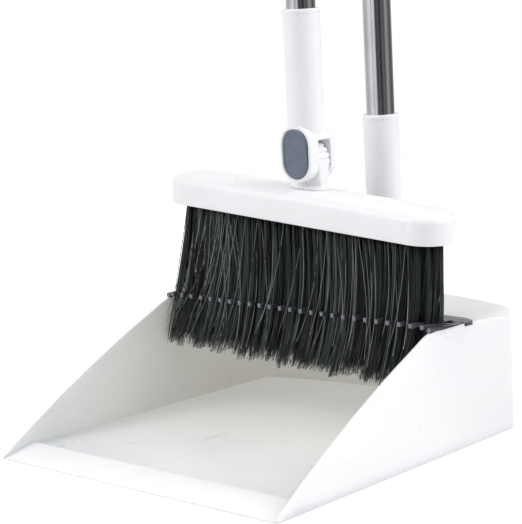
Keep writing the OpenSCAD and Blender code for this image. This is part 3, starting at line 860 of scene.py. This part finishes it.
def upright_ring(half, radius, y, centre_z):
    """A ring with round ends, standing in the plane across Y."""
    return [(pivot.x + v, y, centre_z + u) for u, v in stadium(half, radius)]


def hole_ring(radius, y):
    """A circle about the pivot with as many points as an upright ring."""
    ring = []
    for u, v in stadium(1 * MM, radius):
        out = Vector((v, u)).normalized() * radius
        ring.append((pivot.x + out.x, y, pivot.z + out.y))
    return ring


def make_button(material):
    """Oval push button: a soft edge, a fine groove inside it, a slightly dished face and a bored stem."""
    low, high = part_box("release_button")
    radius = BUTTON_WIDTH / 2
    half = BUTTON_HEIGHT / 2 - radius
    back = low.y + CAP_THICKNESS
    rings = [hole_ring(0.01 * MM, STEM_BORE_END), hole_ring(STEM_BORE, STEM_BORE_END),
             hole_ring(STEM_BORE, high.y), hole_ring(STEM_RADIUS, high.y), hole_ring(STEM_RADIUS, back),
             upright_ring(half, radius, back, PLATE_CENTRE)]
    # The cap from its edge to its middle: (inset, depth) in millimetres
    for inset, depth in ((0, 1.1), (0.35, 0.4), (1.1, 0.05), (1.9, 0), (2.3, 0.1), (2.55, 0.4), (2.8, 0.35),
                         (3.4, 0.3), (6, 0.45), (9, 0.6), (radius / MM, 0.65)):
        inner = max(radius - inset * MM, 1e-5)
        rings.append(upright_ring(half, inner, low.y + depth * MM, PLATE_CENTRE))
    return make_piece("release_button_shape", loft(rings), material, "button",
                      ("release_button",), smooth_angle=50)


def flowed(name, bm, material, body, replaced, voxel, rounds, lean=False):
    """White shapes that overlap, rebuilt as one on a fine grid and relaxed, so that they flow together."""
    mesh = bpy.data.meshes.new(name)
    bmesh.ops.recalc_face_normals(bm, faces=bm.faces)
    bm.to_mesh(mesh)
    bm.free()
    rough = bpy.data.objects.new(name, mesh)
    bpy.context.scene.collection.objects.link(rough)
    remesh = rough.modifiers.new("grid", "REMESH")
    remesh.mode = "VOXEL"
    remesh.voxel_size = voxel
    relax = rough.modifiers.new("relax", "SMOOTH")
    relax.factor = 0.5
    relax.iterations = rounds
    made = bpy.data.meshes.new_from_object(rough.evaluated_get(bpy.context.evaluated_depsgraph_get()))
    bpy.data.objects.remove(rough)
    whole = bmesh.new()
    whole.from_mesh(made)
    bpy.data.meshes.remove(made)
    return make_piece(name, whole, material, body, replaced, smooth_angle=180, lean=lean)


def join(bm, other):
    """Adds a second shape's faces to the first."""
    spare = bpy.data.meshes.new("spare")
    other.to_mesh(spare)
    other.free()
    bm.from_mesh(spare)
    bpy.data.meshes.remove(spare)


def tube_between(rings):
    """A closed wall through the rings, from the last back to the first."""
    bm = bmesh.new()
    made = [[bm.verts.new(p) for p in ring] for ring in rings]
    for lower, upper in zip(made, made[1:] + made[:1]):
        for i in range(len(lower)):
            j = (i + 1) % len(lower)
            bm.faces.new((lower[i], lower[j], upper[j], upper[i]))
    return bm


# The fork's plates, measured from the pivot towards the front and the rear
FORK_FRONT = 13 * MM
PLATE_BACK = 3.5 * MM
FORK_REAR = 11 * MM
FORK_BACK = 16 * MM
PLATE_RADIUS = 14.5 * MM
PLATE_HALF = 6 * MM
REAR_RADIUS = 13 * MM
REAR_HALF = 5.5 * MM
REAR_CENTRE = pivot.z + 4.5 * MM
POCKET_RADIUS = 12.2 * MM
POCKET_DEPTH = 7.2 * MM
GEAR_HOLE = 8.4 * MM
PIN_HOLE = 3.6 * MM
ROOF_ABOVE = 15.2 * MM


def make_fork(material):
    """The broom's socket: a front plate with the button's pocket, a rear plate, a roof and the sleeve."""
    front, back = pivot.y - FORK_FRONT, pivot.y - PLATE_BACK
    pocket = front + POCKET_DEPTH
    bm = tube_between([hole_ring(GEAR_HOLE, back),
                       upright_ring(PLATE_HALF, PLATE_RADIUS, back, PLATE_CENTRE),
                       upright_ring(PLATE_HALF, PLATE_RADIUS, front, PLATE_CENTRE),
                       upright_ring(PLATE_HALF, POCKET_RADIUS, front, PLATE_CENTRE),
                       upright_ring(PLATE_HALF, POCKET_RADIUS, pocket, PLATE_CENTRE),
                       hole_ring(GEAR_HOLE, pocket)])
    rear, behind = pivot.y + FORK_REAR, pivot.y + FORK_BACK
    join(bm, tube_between([hole_ring(PIN_HOLE, rear),
                           upright_ring(REAR_HALF, REAR_RADIUS, rear, REAR_CENTRE),
                           upright_ring(REAR_HALF, REAR_RADIUS, behind, REAR_CENTRE),
                           hole_ring(PIN_HOLE, behind)]))
    # The roof over the hub, which falls from the front plate's arch towards the rear plate
    floor = pivot.z + ROOF_ABOVE
    arch = []
    for y, half, rise in ((front + 2 * MM, 14.1 * MM, 10.8 * MM), (behind, 13.2 * MM, 6.4 * MM)):
        arch.append([(pivot.x + half * math.cos(a), y, floor + rise * math.sin(a))
                     for a in (math.pi * i / 24 for i in range(25))])
    join(bm, loft(arch))
    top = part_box("broom_socket")[1].z
    base = floor + 0.5 * MM
    core = 2 * MM
    sleeve = [(core, base), (SLEEVE_RADIUS - 1.2 * MM, base), (SLEEVE_RADIUS, base + 5 * MM)]
    sleeve = rounded(sleeve + collar(top, 20 * MM) + [(core, top - 20 * MM)], 0.8 * MM)
    join(bm, lathe(sleeve + [sleeve[0]], BROOM_AXIS))
    return flowed("broom_socket_shape", bm, material, "broom", ("broom_socket",), 0.45 * MM, 5)


HUB_RADIUS = 13.5 * MM
HUB_FRONT = 3 * MM
HUB_BACK = 9.4 * MM
HUB_BEVEL = 0.5 * MM
HUB_POCKET = 8.5 * MM
NOTCH_DEPTH = 1.3 * MM
NOTCH_STEP = 20
NOTCH_HALF = 3.6


def hub_ring(radius, y, notch=0.0):
    """A circle about the pivot, notched all round when asked."""
    ring = []
    count = 288
    for i in range(count):
        a = 2 * math.pi * i / count
        from_notch = abs((math.degrees(a) + NOTCH_STEP / 2) % NOTCH_STEP - NOTCH_STEP / 2)
        r = radius - (notch if from_notch < NOTCH_HALF else 0)
        ring.append((pivot.x + r * math.sin(a), y, pivot.z + r * math.cos(a)))
    return ring


def soft_rectangle(half_x, half_y, z, power):
    """A rounded rectangle that flows into an ellipse as its power falls to 2."""
    ring = []
    count = 96
    centre_y = pivot.y + (HUB_BACK - HUB_FRONT) / 2
    for i in range(count):
        a = 2 * math.pi * i / count
        c, s = math.cos(a), math.sin(a)
        x = math.copysign(half_x * abs(c) ** (2 / power), c)
        y = math.copysign(half_y * abs(s) ** (2 / power), s)
        ring.append((pivot.x + x, centre_y + y, z))
    return ring


# The hub's neck from the head up, in millimetres: height, half width, half depth, and how square it is
NECK = ((0.06, 16.8, 10.8, 2.6), (0.9, 15.9, 9.6, 2.8), (2.2, 14.8, 7.8, 3.2), (3.8, 14.0, 6.3, 4.0),
        (8.0, 13.5, 6.15, 5.0), (12.0, 13.4, 6.1, 7.0), (19.5, 13.4, 6.1, 7.0))


def make_hub(material):
    """The notched disc on a neck that flares onto the head."""
    front, back = pivot.y - HUB_FRONT, pivot.y + HUB_BACK
    pocket = front + HUB_POCKET
    rim = HUB_RADIUS - HUB_BEVEL
    bm = tube_between([hub_ring(GEAR_HOLE, front), hub_ring(rim, front, NOTCH_DEPTH),
                       hub_ring(HUB_RADIUS, front + HUB_BEVEL, NOTCH_DEPTH),
                       hub_ring(HUB_RADIUS, back - HUB_BEVEL, NOTCH_DEPTH), hub_ring(rim, back, NOTCH_DEPTH),
                       hub_ring(PIN_HOLE, back), hub_ring(PIN_HOLE, pocket), hub_ring(GEAR_HOLE, pocket)])
    neck = [soft_rectangle(half_x * MM, half_y * MM, HEAD_TOP + above * MM, power)
            for above, half_x, half_y, power in NECK]
    join(bm, loft(neck))
    return flowed("swivel_hub_shape", bm, material, "head", ("swivel_hub",), 0.32 * MM, 2, True)


SPRING_WIRE = 0.45 * MM
SPRING_TURNS = 4


def make_spring(material):
    """A coil round the pin, carried with the button."""
    low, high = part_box("button_spring")
    radius = (high.x - low.x) / 2 - SPRING_WIRE
    rise = high.y - low.y - 2 * SPRING_WIRE
    per_turn, sides = 40, 10
    count = SPRING_TURNS * per_turn
    bm = bmesh.new()
    rings = []
    for i in range(count + 1):
        a = 2 * math.pi * i / per_turn
        middle_y = low.y + SPRING_WIRE + rise * i / count
        ring = []
        for k in range(sides):
            b = 2 * math.pi * k / sides
            out = radius + SPRING_WIRE * math.cos(b)
            y = middle_y + SPRING_WIRE * math.sin(b)
            ring.append(bm.verts.new((pivot.x + out * math.cos(a), y, pivot.z + out * math.sin(a))))
        rings.append(ring)
    for first, second in zip(rings, rings[1:]):
        for k in range(sides):
            n = (k + 1) % sides
            bm.faces.new((first[k], first[n], second[n], second[k]))
    bm.faces.new(rings[0])
    bm.faces.new(rings[-1][::-1])
    piece = make_piece("button_spring_shape", bm, material, "button", ("button_spring",))
    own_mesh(piece)


# ---------------------------------------------------------------- put together

def paint(node, material):
    """Gives a CAD node that is shown as it is its material and its smooth faces."""
    piece = nodes[node]
    piece.data.materials.clear()
    piece.data.materials.append(material)
    for polygon in piece.data.polygons:
        polygon.use_smooth = True
    piece.data.set_sharp_from_angle(angle=math.radians(35))


make_camera()
make_stage()
make_light()
bpy.context.scene.view_settings.view_transform = "Standard"

WHITE = moulded_plastic("white_plastic", (0.90, 0.905, 0.925), (0.85, 0.855, 0.87), 0.32, 900)
SOFT_WHITE = moulded_plastic("soft_white", (0.91, 0.915, 0.935), (0.86, 0.865, 0.88), 0.48, 1300)
BLACK = moulded_plastic("black_plastic", (0.020, 0.021, 0.021), (0.035, 0.036, 0.036), 0.45, 900)
PAN_WHITE = pan_plastic()
COMB_DARK = dark_plastic()
CHROME = chrome()
STEEL = plated_steel()
SLATE = slate_satin("slate_plastic", (0.122, 0.146, 0.200), (0.140, 0.166, 0.224), 0.42, 900)
SLATE_GRIP = slate_satin("slate_grip", (0.110, 0.130, 0.175), (0.135, 0.157, 0.205), 0.62, 1600)
FILAMENT = filament()

make_pan(PAN_WHITE)
eased("floor_lip", SOFT_WHITE, "pan", 0.5 * MM)
eased("comb", COMB_DARK, "pan", 0.45 * MM, 2)
make_socket(WHITE)
for node in ("pan_lower_tube", "pan_upper_tube"):
    plain_tube(node, CHROME, "pan", HANDLE_AXIS)
for node in ("broom_lower_tube", "broom_middle_tube", "broom_upper_tube"):
    plain_tube(node, CHROME, "broom", BROOM_AXIS)
make_grip("pan_grip", SLATE_GRIP, "pan", HANDLE_AXIS)
make_grip("broom_grip", SLATE_GRIP, "broom", BROOM_AXIS)
eased("pan_hanger", WHITE, "pan", 0.9 * MM)
eased("broom_hanger", WHITE, "broom", 0.9 * MM)
eased("handle_clip", WHITE, "pan", 0.7 * MM)
make_head(WHITE)
eased("bristle_block", BLACK, "head", 0.4 * MM)
make_bristles(FILAMENT)
make_fork(WHITE)
make_hub(WHITE)
make_button(SLATE)
for node in ("pan_lower_plug", "pan_joint_nut", "pan_joint_screw", "broom_lower_plug", "broom_lower_nut",
             "broom_lower_screw", "broom_upper_nut", "broom_upper_screw"):
    paint(node, WHITE)
for node in ("socket_screw", "clip_screw", "head_screws", "hub_screws", "pivot_pin", "lock_gear"):
    paint(node, STEEL)
make_spring(STEEL)
